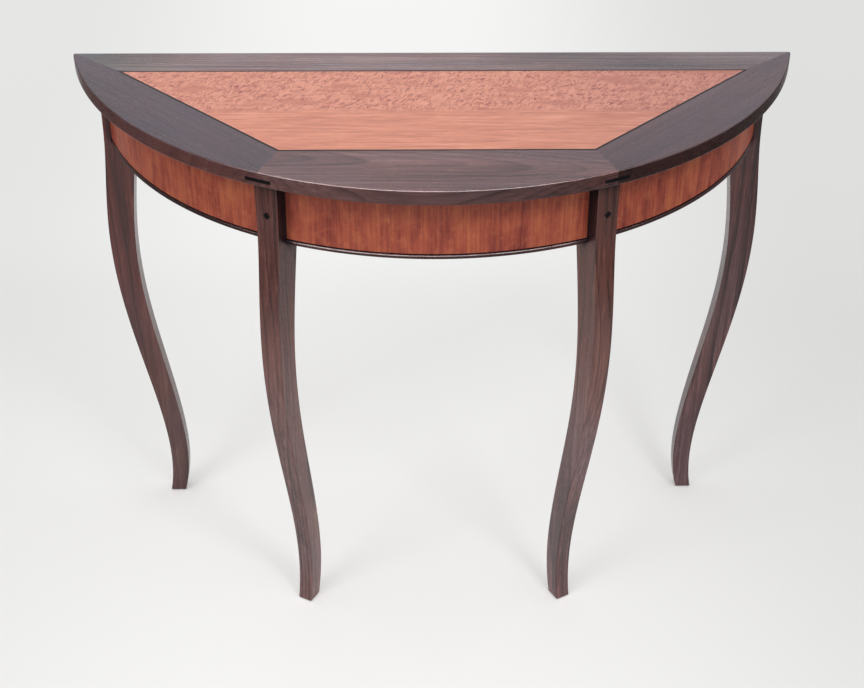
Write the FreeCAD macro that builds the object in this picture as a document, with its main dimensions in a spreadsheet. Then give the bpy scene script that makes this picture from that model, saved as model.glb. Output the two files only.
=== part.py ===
# Demilune table: a half-round framed top, a curved apron in three lengths and four swept legs.
# Millimetres and degrees. The origin is on the floor under the middle of the top's box:
# +X to the right, +Y to the wall, +Z up.
import FreeCAD, Part
import os
import Sketcher
from FreeCAD import Vector

doc = FreeCAD.newDocument("demilune_table")
dims = doc.addObject("Spreadsheet::Sheet", "dims")

SIZES = (
    # top
    ("top_width", 1016), ("top_depth", 406), ("table_height", 762), ("top_thick", 20),
    ("top_arris", 2), ("under_arris", 2), ("corner_round", 3),
    # panel, the dark line round it and the tongue that joins it to the border boards
    ("panel_margin", 63.2), ("panel_front_margin", 109.5), ("panel_side_margin", 78.3),
    ("panel_corner_margin", 63.4), ("veneer", 1.5), ("line_width", 3), ("line_depth", 3),
    ("panel_tongue", 6), ("tongue_thick", 6),
    # front mitres with their splines, back mitres with their hidden keys
    ("mitre_turn", 21), ("spline_wide", 36), ("spline_thick", 5), ("spline_drop", 1.5),
    ("spline_stop", 22),
    ("key_start", 30), ("key_length", 36), ("key_wide", 22), ("key_thick", 6),
    # apron and its bead
    ("apron_inset", 34.8), ("core_thick", 18), ("apron_tall", 96.6),
    ("bead_tall", 7.4), ("bead_proud", 2.4), ("bead_quirk", 1.4), ("quirk_deep", 1.2),
    # legs
    ("leg_overhang", 13.6), ("front_leg_bearing", 25.4), ("front_leg_turn", 29.5),
    ("back_leg_proud", 14.9), ("back_leg_setback", 15),
    ("leg_width", 33.6), ("foot_width", 21.8), ("leg_depth", 48), ("leg_shin_depth", 44),
    ("leg_waist", 3.4), ("leg_sweep", 48.4), ("leg_arris", 1.2),
    # loose tenons
    ("tenon_depth", 14), ("tenon_thick", 8), ("tenon_tall", 60),
    # diamond plugs
    ("plug_side", 7.5), ("plug_proud", 0.8), ("plug_deep", 12), ("plug_drop", 50.5),
    # back rail and glue blocks
    ("rail_thick", 19), ("rail_set", 3),
    ("block_thick", 30), ("block_wide", 90), ("block_tall", 60),
    # buttons and screws that hold the top down
    ("button_length", 30), ("button_wide", 26), ("button_thick", 14), ("button_gap", 2),
    ("button_tongue", 8), ("button_tongue_thick", 6),
    ("front_button_bearing", 10), ("side_button_bearing", 48), ("rail_button_span", 400),
    ("screw_set", 9), ("screw_dia", 4), ("screw_bite", 10), ("head_dia", 8), ("head_tall", 3),
    # glides
    ("glide_dia", 14), ("glide_tall", 2), ("pin_dia", 2.4), ("pin_length", 15),
    # how far a cutting shape runs past what it cuts
    ("overrun", 5),
)
for row, (alias, value) in enumerate(SIZES, 1):
    dims.set("A%d" % row, alias)
    dims.set("B%d" % row, str(value))
    dims.setAlias("B%d" % row, alias)
doc.recompute()

# The leg's outline: heights as shares of the leg, the outer face as shares of the sweep (out is
# positive) and the depth as shares of the depth at the shin's top, from the knee down to the toe.
LEG_HEIGHT_SHARES = (0.78, 0.65, 0.50, 0.35, 0.20, 0.08, 0.0)
LEG_OUTER_SHARES = (0.05, 0.142, -0.036, -0.438, -0.859, -1.0, -0.876)
LEG_DEPTH_SHARES = (0.93, 0.854, 0.776, 0.725, 0.661, 0.611, 0.545)
# what is left of the waist's hollow at the bead's foot
LEG_WAIST_SHARE = 0.75


def num(expr):
    """The value of an expression over the sheet."""
    value = dims.evalExpression(expr)
    return float(getattr(value, "Value", value))


def size(alias):
    return num("dims." + alias)


# Places and sizes that follow from the sheet, as expressions.
half_w = "(dims.top_width/2)"
back_y = "(dims.top_depth/2)"
under = "(dims.table_height-dims.top_thick)"
top_mid = "(dims.table_height-dims.top_thick/2)"
top_r = "((dims.top_width^2/4+dims.top_depth^2)/(2*dims.top_depth))"
arc_y = f"({top_r}-dims.top_depth/2)"
# panel corners: the back ones from the top's corners, the front ones from its arc
pb_x = f"({half_w}-dims.panel_side_margin)"
pb_y = f"({back_y}-dims.panel_margin)"
pf_y = f"(dims.panel_front_margin-{back_y})"
pf_x = f"sqrt(({top_r}-dims.panel_corner_margin)^2-({arc_y}-{pf_y})^2)"
# tangent of half the angle between the panel's slanted side and its back edge
half_tan = f"tan(atan(({pb_y}-{pf_y})/({pb_x}-{pf_x}))/2)"
mitre = "(dims.mitre_turn*1deg)"
# apron rings, all about the top's own centre
face_r = f"({top_r}-dims.apron_inset)"
core_out = f"({face_r}-dims.veneer)"
core_in = f"({core_out}-dims.core_thick)"
core_mid = f"({core_out}-dims.core_thick/2)"
bead_z = f"({under}-dims.apron_tall)"
core_z = f"({bead_z}+dims.bead_tall)"
core_tall = "(dims.apron_tall-dims.bead_tall)"
# legs: the middle of the outer face at the top
bearing = "(dims.front_leg_bearing*1deg)"
turn = "(dims.front_leg_turn*1deg)"
leg_r = f"({top_r}-dims.leg_overhang)"
fx = f"({leg_r}*sin({bearing}))"
fy = f"({arc_y}-{leg_r}*cos({bearing}))"
by = f"({back_y}-dims.back_leg_setback-dims.leg_width/2)"
by_front = f"({by}-dims.leg_width/2)"
bx = f"(sqrt({face_r}^2-({arc_y}-{by_front})^2)+dims.back_leg_proud)"
leg_in = f"({bx}-dims.leg_depth)"
leg_tall = f"({under}-dims.glide_tall)"
# back rail
rail_back = f"({back_y}-dims.back_leg_setback-dims.rail_set)"
rail_front = f"({rail_back}-dims.rail_thick)"


def neg(expr):
    return f"(-{expr})"


def bind(obj, **exprs):
    for prop, expr in exprs.items():
        obj.setExpression(prop, expr)
    return obj


def put(obj, x=None, y=None, z=None, turn=None):
    """Bind an object's place and its turn about Z."""
    for axis, expr in (("x", x), ("y", y), ("z", z)):
        if expr is not None:
            obj.setExpression("Placement.Base." + axis, expr)
    if turn is not None:
        obj.Placement = FreeCAD.Placement(obj.Placement.Base,
                                          FreeCAD.Rotation(Vector(0, 0, 1), num(turn)))
        obj.setExpression("Placement.Rotation.Angle", turn)
    return obj


def box(name, length, width, height, cx, cy, z, turn=None):
    """A box centred on cx, cy, its length along the turned X axis."""
    solid = doc.addObject("Part::Box", name)
    bind(solid, Length=length, Width=width, Height=height)
    a = turn or "0deg"
    return put(solid, f"{cx}-{length}/2*cos({a})+{width}/2*sin({a})",
               f"{cy}-{length}/2*sin({a})-{width}/2*cos({a})", z, turn)


def disc(name, radius, height, x, y, z):
    solid = doc.addObject("Part::Cylinder", name)
    bind(solid, Radius=radius, Height=height)
    return put(solid, x, y, z)


def tie_point(sketch, geo, pos, x, y):
    """Hold a sketch point at x, y; a zero puts it on the axis."""
    for kind, expr, axis in (("DistanceX", x, -2), ("DistanceY", y, -1)):
        if expr == "0":
            sketch.addConstraint(Sketcher.Constraint("PointOnObject", geo, pos, axis))
        else:
            at = sketch.addConstraint(Sketcher.Constraint(kind, -1, 1, geo, pos, num(expr)))
            sketch.setExpression("Constraints[%d]" % at, expr)


def outline(sketch, points):
    """A closed polygon with every corner bound."""
    spots = [Vector(num(x), num(y), 0) for x, y in points]
    last = len(spots)
    for i in range(last):
        sketch.addGeometry(Part.LineSegment(spots[i], spots[(i + 1) % last]), False)
    for i in range(last):
        sketch.addConstraint(Sketcher.Constraint("Coincident", i, 2, (i + 1) % last, 1))
    for i, (x, y) in enumerate(points):
        tie_point(sketch, i, 1, x, y)


def prism(name, points, z, tall):
    """An upright prism on a plan outline."""
    sketch = doc.addObject("Sketcher::SketchObject", name + "_plan")
    outline(sketch, points)
    put(sketch, z=z)
    solid = doc.addObject("Part::Extrusion", name)
    solid.Base = sketch
    solid.DirMode = "Custom"
    solid.Dir = Vector(0, 0, 1)
    solid.Solid = True
    return bind(solid, LengthFwd=tall)


def group(name, solids):
    """Solids that are clear of each other, taken together."""
    several = doc.addObject("Part::Compound", name)
    several.Links = solids
    return several


def cut(name, base, *tools):
    """Cut one tool after another; a list is cut in one go."""
    for i, tool in enumerate(tools, 1):
        step = doc.addObject("Part::Cut", name if i == len(tools) else f"{name}_cut{i}")
        step.Base = base
        step.Tool = group(f"{name}_tools{i}", tool) if isinstance(tool, list) else tool
        base = step
    return base


def common(name, base, tool):
    both = doc.addObject("Part::Common", name)
    both.Base, both.Tool = base, tool
    return both


def fuse(name, base, tool):
    both = doc.addObject("Part::Fuse", name)
    both.Base, both.Tool = base, tool
    return both


pieces = []


def piece(label, obj):
    obj.Label = label
    pieces.append(obj)
    return obj


def origin_part(body, role):
    return next(f for f in body.Origin.OriginFeatures if f.Role == role)


def body_sketch(body, name, role):
    sketch = body.newObject("Sketcher::SketchObject", name)
    sketch.AttachmentSupport = (origin_part(body, role), [""])
    sketch.MapMode = "FlatFace"
    return sketch


def ease(body, name, base, edges, radius):
    """Round the listed edges of a body's last feature."""
    step = body.newObject("PartDesign::Fillet", name)
    step.Base = (base, ["Edge%d" % i for i in edges])
    step.setExpression("Radius", radius)
    doc.recompute()
    return step


def edges_where(shape, test):
    return [i for i, edge in enumerate(shape.Edges, 1) if test(edge.BoundBox)]


# The whole top as one blank: the arc, the straight back and the eased arrises.
blank = doc.addObject("PartDesign::Body", "top_blank")
plan = body_sketch(blank, "top_plan", "XY_Plane")
plan.setExpression("AttachmentOffset.Base.z", under)
centre = Vector(0, num(arc_y), 0)
corner = Vector(num(half_w), num(back_y), 0)
left_corner = Vector(-corner.x, corner.y, 0)
front = Vector(0, -corner.y, 0)
plan.addGeometry(Part.Arc(left_corner, front, corner), False)
plan.addGeometry(Part.LineSegment(corner, left_corner), False)
plan.addConstraint(Sketcher.Constraint("Coincident", 0, 2, 1, 1))
plan.addConstraint(Sketcher.Constraint("Coincident", 1, 2, 0, 1))
tie_point(plan, 1, 1, half_w, back_y)
tie_point(plan, 1, 2, neg(half_w), back_y)
radius = plan.addConstraint(Sketcher.Constraint("Radius", 0, num(top_r)))
plan.setExpression("Constraints[%d]" % radius, top_r)
board = blank.newObject("PartDesign::Pad", "top_board")
board.Profile = plan
board.setExpression("Length", "dims.top_thick")
doc.recompute()
upright = edges_where(board.Shape, lambda b: b.XLength + b.YLength < b.ZLength)
board = ease(blank, "top_corners", board, upright, "dims.corner_round")
upper = edges_where(board.Shape, lambda b: b.ZMin > num(top_mid))
board = ease(blank, "top_upper_arris", board, upper, "dims.top_arris")
lower = edges_where(board.Shape, lambda b: b.ZMax < num(top_mid))
board = ease(blank, "top_lower_arris", board, lower, "dims.under_arris")


def panel_outline(out):
    """The panel's corners, moved out by a distance all round."""
    return ((neg(f"({pf_x}+{out}*{half_tan})"), f"({pf_y}-{out})"),
            (f"({pf_x}+{out}*{half_tan})", f"({pf_y}-{out})"),
            (f"({pb_x}+{out}/{half_tan})", f"({pb_y}+{out})"),
            (neg(f"({pb_x}+{out}/{half_tan})"), f"({pb_y}+{out})"))


# Panel: a core with a tongue all round, veneered on both faces.
core = prism("core_board", panel_outline("0"), f"{under}+dims.veneer", "dims.top_thick-2*dims.veneer")
tongue = prism("core_tongue", panel_outline("dims.panel_tongue"), f"{top_mid}-dims.tongue_thick/2",
               "dims.tongue_thick")
panel = fuse("panel_board", core, tongue)
backing = prism("back_veneer", panel_outline("0"), under, "dims.veneer")
piece("panel_face_veneer", prism("face_veneer", panel_outline("0"),
                                 "dims.table_height-dims.veneer", "dims.veneer"))

# The dark line, four strips mitred at the panel's corners and let into the boards' upper edges.
inner, outer = panel_outline("0"), panel_outline("dims.line_width")
lines = {}
sides = ("front", "right", "back", "left")
for a, side in enumerate(sides):
    b = (a + 1) % len(sides)
    strip = prism("line_" + side, (inner[a], outer[a], outer[b], inner[b]),
                  "dims.table_height-dims.line_depth", "dims.line_depth")
    lines[side] = piece("line_inlay_" + side, strip)

# Border boards: the part of the blank between two mitres, less the tongue, the line and the keys.
reach = "dims.top_depth"
far_x, far_y = f"({pf_x}+{reach}*sin({mitre}))", f"({pf_y}-{reach}*cos({mitre}))"
beyond_x, beyond_y = f"(2*{half_w}-{pb_x})", f"(2*{back_y}-{pb_y})"
low, high = f"{under}-dims.overrun", "dims.top_thick+2*dims.overrun"
spaces = {
    "front": ((neg(pf_x), pf_y), (neg(far_x), far_y), (far_x, far_y), (pf_x, pf_y)),
    "right": ((pf_x, pf_y), (far_x, far_y), ("dims.top_width", far_y), (beyond_x, beyond_y),
              (pb_x, pb_y)),
    "back": ((pb_x, pb_y), (beyond_x, beyond_y), (neg(beyond_x), beyond_y), (neg(pb_x), pb_y)),
    "left": ((neg(pb_x), pb_y), (neg(beyond_x), beyond_y), ("(-dims.top_width)", far_y),
             (neg(far_x), far_y), (neg(pf_x), pf_y)),
}

splines, keys = {}, {}
spline_far = f"(dims.spline_stop+{reach})"
spline_mid = f"(dims.spline_stop+{reach}/2)"
for side, sign in (("left", "-"), ("right", "")):
    stick = box("spline_stick_" + side, "dims.spline_wide", reach, "dims.spline_thick",
                f"({sign}({pf_x}+{spline_mid}*sin({mitre})))", f"({pf_y}-{spline_mid}*cos({mitre}))",
                f"{top_mid}-dims.spline_thick/2-dims.spline_drop", f"({sign}{mitre})")
    splines[side] = piece("mitre_spline_front_" + side, common("spline_" + side, blank, stick))
    run = f"sqrt(({half_w}-{pb_x})^2+({back_y}-{pb_y})^2)"
    along = f"((dims.key_start+dims.key_length/2)/{run})"
    lean = f"({sign}atan(({back_y}-{pb_y})/({half_w}-{pb_x})))"
    key = box("key_" + side, "dims.key_length", "dims.key_wide", "dims.key_thick",
              f"({sign}({pb_x}+({half_w}-{pb_x})*{along}))", f"({pb_y}+({back_y}-{pb_y})*{along})",
              f"{top_mid}-dims.key_thick/2", lean)
    keys[side] = piece("mitre_key_back_" + side, key)

# Legs. Each is sawn to its swept side outline, then tapered in width to the foot.
leg_places = {
    "leg_front_left": (neg(fx), fy, f"(-90deg-{turn})"),
    "leg_front_right": (fx, fy, f"({turn}-90deg)"),
    "leg_back_left": (neg(bx), by, "180deg"),
    "leg_back_right": (bx, by, "0deg"),
}


def swept_leg(name, x, y, angle):
    """A leg in its own frame: +X out from the middle of its outer face, Z up."""
    body = doc.addObject("PartDesign::Body", name + "_stock")
    foot, head = size("glide_tall"), num(under)
    tall, waist_z, plug_z = num(leg_tall), num(core_z), head - size("plug_drop")
    sweep, shin = size("leg_sweep"), size("leg_shin_depth")
    waist = size("leg_waist")
    face = [Vector(-waist, 0, head), Vector(-waist, 0, plug_z), Vector(-LEG_WAIST_SHARE * waist, 0, num(bead_z))]
    rear = [Vector(-size("leg_depth"), 0, waist_z)]
    for up, out, deep in zip(LEG_HEIGHT_SHARES, LEG_OUTER_SHARES, LEG_DEPTH_SHARES):
        z = foot + up * tall
        face.append(Vector(out * sweep, 0, z))
        rear.append(Vector(out * sweep - deep * shin, 0, z))
    face, rear = [[Vector(p.x, p.z, 0) for p in points] for points in (face, rear)]
    face_curve, rear_curve = Part.BSplineCurve(), Part.BSplineCurve()
    face_curve.interpolate(Points=face)
    rear_curve.interpolate(Points=rear)
    side = body_sketch(body, name + "_side", "XZ_Plane")
    back_head = Vector(-size("leg_depth"), head, 0)
    side.addGeometry(face_curve, False)
    side.addGeometry(Part.LineSegment(face[-1], rear[-1]), False)
    side.addGeometry(rear_curve, False)
    side.addGeometry(Part.LineSegment(rear[0], back_head), False)
    side.addGeometry(Part.LineSegment(back_head, face[0]), False)
    pad = body.newObject("PartDesign::Pad", name + "_sawn")
    pad.Profile = side
    pad.Midplane = True
    pad.setExpression("Length", "dims.leg_width")
    doc.recompute()
    taper = body_sketch(body, name + "_taper", "YZ_Plane")
    wide, narrow = "(dims.leg_width/2)", "(dims.foot_width/2)"
    clear = f"({wide}+dims.overrun)"
    for sign in ("", "-"):
        start = len(taper.Geometry)
        corners = ((f"({sign}{wide})", under), (f"({sign}{narrow})", "dims.glide_tall"),
                   (f"({sign}{clear})", "dims.glide_tall"), (f"({sign}{clear})", under))
        spots = [Vector(num(a), num(b), 0) for a, b in corners]
        for i in range(4):
            taper.addGeometry(Part.LineSegment(spots[i], spots[(i + 1) % 4]), False)
        for i in range(4):
            taper.addConstraint(Sketcher.Constraint("Coincident", start + i, 2,
                                                    start + (i + 1) % 4, 1))
            tie_point(taper, start + i, 1, *corners[i])
    shave = body.newObject("PartDesign::Pocket", name + "_tapered")
    shave.Profile = taper
    shave.Type = "ThroughAll"
    shave.Midplane = True
    doc.recompute()
    long_edges = edges_where(shave.Shape, lambda b: b.ZLength > num(core_tall) / 2)
    ease(body, name + "_arris", shave, long_edges, "dims.leg_arris")
    return put(body, x, y, turn=angle)


legs = {name: swept_leg(name, *place) for name, place in leg_places.items()}
leg_cuts = {name: [] for name in legs}

# Diamond plugs: square pegs on their corners, let into the outer faces.
for name, (x, y, angle) in leg_places.items():
    peg = doc.addObject("Part::Prism", "plug_" + name)
    peg.Polygon = 4
    bind(peg, Circumradius="dims.plug_side/sqrt(2)", Height="dims.plug_deep+dims.plug_proud")
    start = "(-dims.leg_waist-dims.plug_deep)"
    peg.setExpression("Placement", f"placement(vector({x}+{start}*cos({angle}); {y}+{start}*sin({angle}); "
                                   f"{under}-dims.plug_drop); rotation({angle}; 90deg; 0deg))")
    leg_cuts[name].append(piece("plug_" + name[4:], peg))

# Glides: a disc under each foot with a pin driven up into it.
foot_mid = f"({LEG_OUTER_SHARES[-1]}*dims.leg_sweep-{LEG_DEPTH_SHARES[-1]}*dims.leg_shin_depth/2)"
for name, (x, y, angle) in leg_places.items():
    gx, gy = f"({x}+{foot_mid}*cos({angle}))", f"({y}+{foot_mid}*sin({angle}))"
    button_disc = disc("glide_disc_" + name, "dims.glide_dia/2", "dims.glide_tall", gx, gy, "0")
    pin = disc("glide_pin_" + name, "dims.pin_dia/2", "dims.pin_length", gx, gy, "dims.glide_tall")
    piece("glide_" + name[4:], fuse("glide_" + name, button_disc, pin))
    leg_cuts[name].append(pin)

# Apron: core, veneer and bead are rings about the top's centre, cut at the legs into three lengths.


def ring(name, r_out, r_in, z, tall):
    return cut(name, disc(name + "_outer", r_out, tall, "0", arc_y, z),
               disc(name + "_bore", r_in, tall, "0", arc_y, z))


# The bead runs under core and veneer: a round nose that stands past the face, under a narrow quirk.
moulding = doc.addObject("PartDesign::Body", "bead_ring")
profile = body_sketch(moulding, "bead_profile", "XZ_Plane")
nose_tall = "(dims.bead_tall-dims.bead_quirk)"
nose_r = f"(({nose_tall}^2/4+dims.bead_proud^2)/(2*dims.bead_proud))"
nose_z = f"({bead_z}+{nose_tall})"
quirk_r = f"({face_r}-dims.quirk_deep)"
bead_corners = ((core_in, bead_z), (face_r, bead_z), (face_r, nose_z), (quirk_r, nose_z),
                (quirk_r, core_z), (core_in, core_z))
spots = [Vector(num(r), num(z), 0) for r, z in bead_corners]
nose = Vector(num(face_r) + size("bead_proud"), (spots[1].y + spots[2].y) / 2, 0)
last = len(spots)
for i in range(last):
    ends = spots[i], spots[(i + 1) % last]
    profile.addGeometry(Part.Arc(ends[0], nose, ends[1]) if i == 1 else Part.LineSegment(*ends), False)
for i, (r, z) in enumerate(bead_corners):
    if i != 1:
        tie_point(profile, i, 1, r, z)
tie_point(profile, 0, 2, *bead_corners[1])
for a, pa, b, pb in ((1, 1, 0, 2), (1, 2, 2, 1), (2, 2, 3, 1), (3, 2, 4, 1), (4, 2, 5, 1), (5, 2, 0, 1)):
    profile.addConstraint(Sketcher.Constraint("Coincident", a, pa, b, pb))
at = profile.addConstraint(Sketcher.Constraint("Radius", 1, num(nose_r)))
profile.setExpression("Constraints[%d]" % at, nose_r)
swell = moulding.newObject("PartDesign::Revolution", "bead_swell")
swell.Profile = profile
swell.ReferenceAxis = (origin_part(moulding, "Z_Axis"), [""])
put(moulding, y=arc_y)

rings = {"core": ring("ring_core", core_out, core_in, core_z, core_tall),
         "veneer": ring("ring_veneer", face_r, core_out, core_z, core_tall),
         "bead": moulding}
span = "(2*dims.leg_depth)"
out_x, out_y = f"({fx}+{span}*sin({turn}))", f"({fy}-{span}*cos({turn}))"
in_x, in_y = f"({fx}-{span}*sin({turn}))", f"({fy}+{span}*cos({turn}))"
right_side = ((out_x, out_y), ("dims.top_width", out_y), ("dims.top_width", by), (in_x, by), (in_x, in_y))
lengths = {
    "front": (((neg(out_x), out_y), (out_x, out_y), (in_x, in_y), (neg(in_x), in_y)),
              ("leg_front_left", "leg_front_right")),
    "right": (right_side, ("leg_front_right", "leg_back_right")),
    "left": (tuple((neg(x), y) for x, y in right_side), ("leg_front_left", "leg_back_left")),
}
apron_z = f"({bead_z}-dims.overrun)"
apron_clear = "(dims.apron_tall+2*dims.overrun)"
core_cuts = {side: [] for side in lengths}

# Loose tenons lie along the apron's curve where it meets the side of a leg.
tenon_long = "(2*dims.tenon_depth)"
tenon_z = f"({core_z}+({core_tall}-dims.tenon_tall)/2)"
skew = f"{leg_r}*sin({bearing}-{turn})"
joint_near = f"({turn}+asin(({skew}-dims.leg_width/2)/{core_mid}))"
joint_far = f"({turn}+asin(({skew}+dims.leg_width/2)/{core_mid}))"
joint_back = f"acos(({arc_y}-{by_front})/{core_mid})"
for side, sign in (("left", "-"), ("right", "")):
    for label, length, leg, where in (
            ("front", "front", "leg_front_", joint_near), ("side", side, "leg_front_", joint_far),
            ("rear", side, "leg_back_", joint_back)):
        theta = f"({sign}{where})"
        slip = box(f"slip_{label}_{side}", tenon_long, "dims.tenon_thick", "dims.tenon_tall",
                   f"({core_mid}*sin({theta}))", f"({arc_y}-{core_mid}*cos({theta}))", tenon_z, theta)
        piece(f"tenon_{label}_{side}", slip)
        core_cuts[length].append(slip)
        leg_cuts[leg + side].append(slip)

# Back rail between the back legs, on two more loose tenons.
rail_mid = f"({rail_front}+dims.rail_thick/2)"
rail_cuts = []
for side, sign in (("left", "-"), ("right", "")):
    slip = box("slip_rail_" + side, tenon_long, "dims.tenon_thick", "dims.tenon_tall",
               f"({sign}{leg_in})", rail_mid, tenon_z)
    piece("tenon_rail_" + side, slip)
    rail_cuts.append(slip)
    leg_cuts["leg_back_" + side].append(slip)

# Buttons: each has a tongue in a slot of the apron or rail and is screwed up into the top.
button_z = f"({under}-dims.button_thick)"
screws = []


def button(name, x, y, angle, slots):
    def along(run):
        return f"({x}+{run}*cos({angle}))", f"({y}+{run}*sin({angle}))"
    bx0, by0 = along("(-dims.button_gap-dims.button_length/2)")
    tx, ty = along("((dims.button_tongue-dims.button_gap)/2)")
    sx, sy = along("(-dims.button_gap-dims.screw_set)")
    block = box("block_" + name, "dims.button_length", "dims.button_wide", "dims.button_thick",
                bx0, by0, button_z, angle)
    tip = box("tip_" + name, "(dims.button_tongue+dims.button_gap)", "dims.button_wide",
              "dims.button_tongue_thick", tx, ty, button_z, angle)
    shank = disc("shank_" + name, "dims.screw_dia/2", "dims.button_thick+dims.screw_bite", sx, sy, button_z)
    head = disc("head_" + name, "dims.head_dia/2", "dims.head_tall", sx, sy, f"{button_z}-dims.head_tall")
    piece("button_" + name, cut("button_" + name, fuse("whole_" + name, block, tip), shank))
    screws.append(fuse("screw_" + name, head, shank))
    slots.append(tip)


for side, sign in (("left", "-"), ("right", "")):
    for label, length, cell in (("front", "front", "front_button_bearing"),
                                ("side", side, "side_button_bearing")):
        theta = f"({sign}dims.{cell}*1deg)"
        button(f"{label}_{side}", f"({core_in}*sin({theta}))", f"({arc_y}-{core_in}*cos({theta}))",
               f"({theta}-90deg)", core_cuts[length])
    button("rail_" + side, f"({sign}dims.rail_button_span/2)", rail_front, "90deg", rail_cuts)
piece("button_screws", group("screws", screws))

# The three lengths of apron, fitted to the legs.
for side, (corners, ends) in lengths.items():
    stretch = prism("stretch_" + side, corners, apron_z, apron_clear)
    for layer, whole in rings.items():
        tools = [[legs[end] for end in ends]] + ([core_cuts[side]] if layer == "core" else [])
        part = common(f"raw_{layer}_{side}", whole, stretch)
        piece(f"apron_{layer}_{side}", cut(f"apron_{layer}_{side}", part, *tools))
rail = box("rail_board", f"(2*{leg_in})", "dims.rail_thick", core_tall, "0", rail_mid, core_z)
piece("back_rail", cut("back_rail", rail, rail_cuts))

# Glue blocks: curved ones behind the front legs, three-cornered ones in the back corners.
block_z = f"({core_z}+({core_tall}-dims.block_tall)/2)"
block_ring = ring("block_ring", core_in, f"{core_in}-dims.block_thick", block_z, "dims.block_tall")
inside = disc("inside_disc", core_in, "dims.block_tall", "0", arc_y, block_z)
for side, sign in (("left", "-"), ("right", "")):
    window = box("block_window_" + side, "dims.block_wide", "(4*dims.leg_depth)", "dims.block_tall",
                 f"({sign}{fx})", fy, block_z, f"({sign}{turn})")
    piece("glue_block_front_" + side, cut("glue_front_" + side,
                                          common("glue_raw_" + side, block_ring, window),
                                          legs["leg_front_" + side]))
    reach_in, reach_down = f"({leg_in}-dims.block_wide/2)", f"({rail_front}-dims.block_wide/2)"
    wedge = prism("wedge_" + side, ((f"({sign}{reach_in})", rail_front), (f"({sign}{bx})", rail_front),
                                    (f"({sign}{bx})", reach_down), (f"({sign}{leg_in})", reach_down)),
                  block_z, "dims.block_tall")
    piece("glue_block_back_" + side, cut("glue_back_" + side, common("glue_wedge_" + side, wedge, inside),
                                         legs["leg_back_" + side]))

# Legs with their mortises.
for name, body in legs.items():
    piece(name, cut(name, body, leg_cuts[name]))

# Border boards, panel core and backing, all drilled where a screw comes up into them.
let_in = {"front": [splines["left"], splines["right"]], "right": [splines["right"], keys["right"]],
          "back": [keys["left"], keys["right"]], "left": [splines["left"], keys["left"]]}
opposite = {"front": "back", "back": "front", "left": "right", "right": "left"}
for side, corners in spaces.items():
    space = prism("space_" + side, corners, low, high)
    raw = common("raw_border_" + side, blank, space)
    strips = [strip for near, strip in lines.items() if near != opposite[side]]
    piece("border_" + side, cut("border_" + side, raw, tongue, *strips, let_in[side] + screws))
piece("panel_core", cut("panel_core", panel, screws))
piece("panel_backing_veneer", cut("panel_backing_veneer", backing, screws))

doc.recompute()
faults = [o.Name for o in doc.Objects if {"Invalid", "Error"} & set(o.State)]
if faults:
    raise RuntimeError("features that failed: " + ", ".join(faults))
for obj in pieces:
    if obj.Shape.isNull() or not obj.Shape.isValid() or not obj.Shape.Solids:
        raise RuntimeError("no valid solid: " + obj.Label)

os.makedirs("parts", exist_ok=True)
for obj in pieces:
    obj.Shape.exportStep(os.path.join("parts", obj.Label + ".step"))
    print(f"{obj.Label:26s} solids {len(obj.Shape.Solids)}  volume {obj.Shape.Volume:12.0f}")
print(len(pieces), "pieces")
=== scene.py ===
"""Looks of a demilune table: finishes for every piece of wood, steel and plastic, and a plain studio."""
import math
from functools import partial

import bpy
from bpy.props import FloatProperty, FloatVectorProperty, PointerProperty
from mathutils import Matrix, Vector


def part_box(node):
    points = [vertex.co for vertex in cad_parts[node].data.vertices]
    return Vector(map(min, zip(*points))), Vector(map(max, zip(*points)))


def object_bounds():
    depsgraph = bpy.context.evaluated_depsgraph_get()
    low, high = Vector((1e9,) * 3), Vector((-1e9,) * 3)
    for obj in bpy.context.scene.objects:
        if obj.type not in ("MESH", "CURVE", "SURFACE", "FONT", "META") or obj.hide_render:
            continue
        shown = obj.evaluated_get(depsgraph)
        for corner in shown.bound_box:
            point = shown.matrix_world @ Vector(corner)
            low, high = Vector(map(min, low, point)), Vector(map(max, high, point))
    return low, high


bl_info = {
    "name": "Demilune Table",
    "version": (1, 0, 0),
    "blender": (4, 5, 0),
    "location": "3D View > Sidebar > Demilune",
    "description": "Dresses a half-round side table in walnut, figured veneer and ebony",
    "category": "Object",
}

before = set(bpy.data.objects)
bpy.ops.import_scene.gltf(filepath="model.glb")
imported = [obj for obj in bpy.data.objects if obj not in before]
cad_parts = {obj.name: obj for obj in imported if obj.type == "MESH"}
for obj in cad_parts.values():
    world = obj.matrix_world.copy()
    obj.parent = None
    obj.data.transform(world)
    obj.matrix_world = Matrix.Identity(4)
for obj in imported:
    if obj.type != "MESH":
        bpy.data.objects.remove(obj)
cad_low, cad_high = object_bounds()

# The front edge of the top and the apron under it are arcs about one upright line.
TOP_WIDTH = cad_high.x - cad_low.x
TOP_DEPTH = cad_high.y - cad_low.y
ARC_RADIUS = (TOP_WIDTH ** 2 / 4 + TOP_DEPTH ** 2) / (2 * TOP_DEPTH)
ARC_Y = cad_low.y + ARC_RADIUS

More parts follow.
